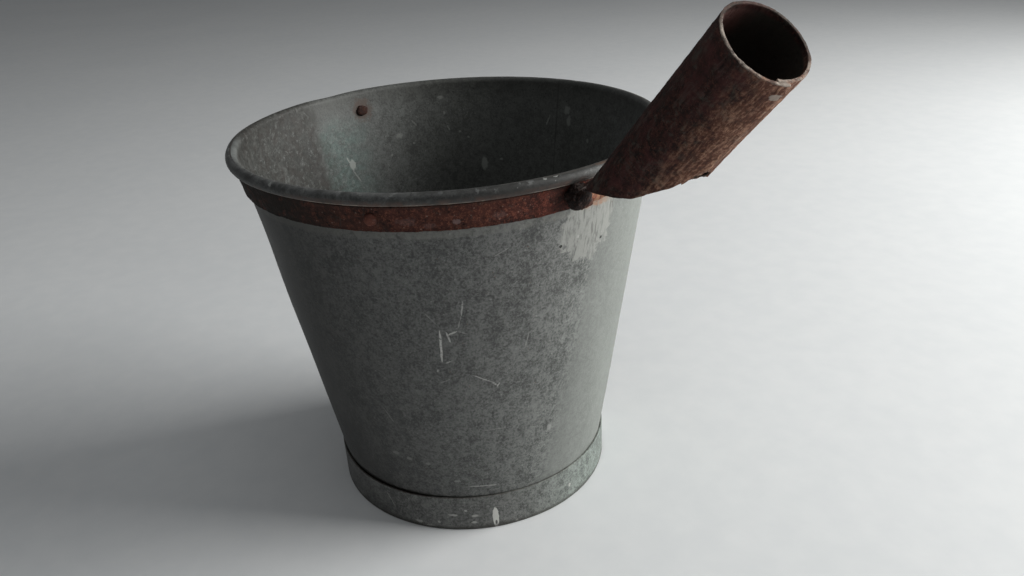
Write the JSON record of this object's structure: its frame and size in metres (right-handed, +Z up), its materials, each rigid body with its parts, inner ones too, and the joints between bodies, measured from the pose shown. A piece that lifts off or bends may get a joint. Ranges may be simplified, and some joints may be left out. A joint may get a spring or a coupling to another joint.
{
  "type": "metal scoop bucket",
  "caption": "Tapered galvanised pail with a wired rim, a foot hoop, a riveted rusty iron band and a slanting tube socket that takes a wooden pole, for scooping liquid or grain.",
  "frame": {"origin": "on the pail's axis, at the centre of the foot hoop's bottom edge, where the pail stands", "axes": "+Z up along the pail's axis; +X towards the pole socket; +Y follows by the right-hand rule"},
  "size_m": [0.4352, 0.3, 0.3675],
  "materials": {
    "galvanised_wall": "dull weathered zinc, mottled and scratched",
    "galvanised_floor": "dull dark zinc with stains",
    "galvanised_hoop": "dull weathered zinc with paint specks",
    "wire_steel": "plain steel wire, hidden inside the rim",
    "band_rust": "red-brown rust, matt and pitted",
    "rivet_rust": "dark red-brown rust",
    "socket_rust": "dark maroon rust with orange and grey patches",
    "weld_rust": "nearly black lumpy scale"
  },
  "bodies": {
    "root": {"bucket_wall": "galvanised_wall", "rim_wire": "wire_steel", "bucket_floor": "galvanised_floor", "foot_hoop": "galvanised_hoop", "rim_band": "band_rust", "rivet_left": "rivet_rust", "rivet_right": "rivet_rust", "rivet_back": "rivet_rust", "handle_socket": "socket_rust", "socket_weld": "weld_rust"}
  },
  "joints": []
}
